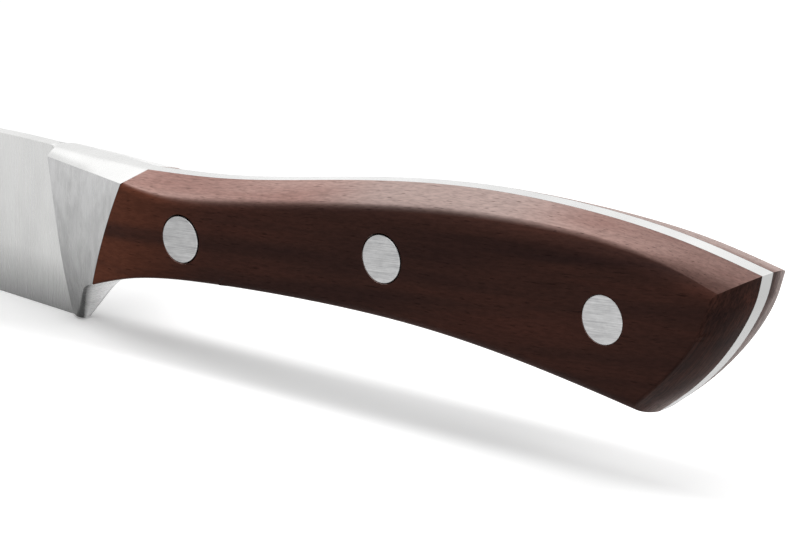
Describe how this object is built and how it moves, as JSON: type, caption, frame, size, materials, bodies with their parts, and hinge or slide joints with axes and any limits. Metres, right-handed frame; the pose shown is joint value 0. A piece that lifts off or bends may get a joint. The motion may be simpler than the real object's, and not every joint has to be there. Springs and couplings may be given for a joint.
{
  "type": "fillet knife",
  "caption": "Forged fillet knife with a slender upswept blade, full bolster, full tang and faceted wooden scales held by flush rivets.",
  "frame": {"origin": "middle of the bounding box at its bottom, on the line of the straight cutting edge", "axes": "+X along the cutting edge toward the butt, so the tip is at -X; +Z from the edge to the spine; +Y out of the knife's right side as it is held"},
  "size_m": [0.3116, 0.017, 0.0388],
  "materials": {
    "satin_steel": "satin, fine cross grain on the blade, brighter on the tang edge",
    "rivet_steel": "brushed along the handle, ground flush with the wood",
    "dark_wood": "oiled dark red-brown hardwood, satin, with darker streaks along the grain"
  },
  "bodies": {
    "root": {"blade_forging": "satin_steel", "scale_left": "dark_wood", "scale_right": "dark_wood", "rivet_front_socket": "rivet_steel", "rivet_front_pin": "rivet_steel", "rivet_middle_socket": "rivet_steel", "rivet_middle_pin": "rivet_steel", "rivet_rear_socket": "rivet_steel", "rivet_rear_pin": "rivet_steel"}
  },
  "joints": []
}
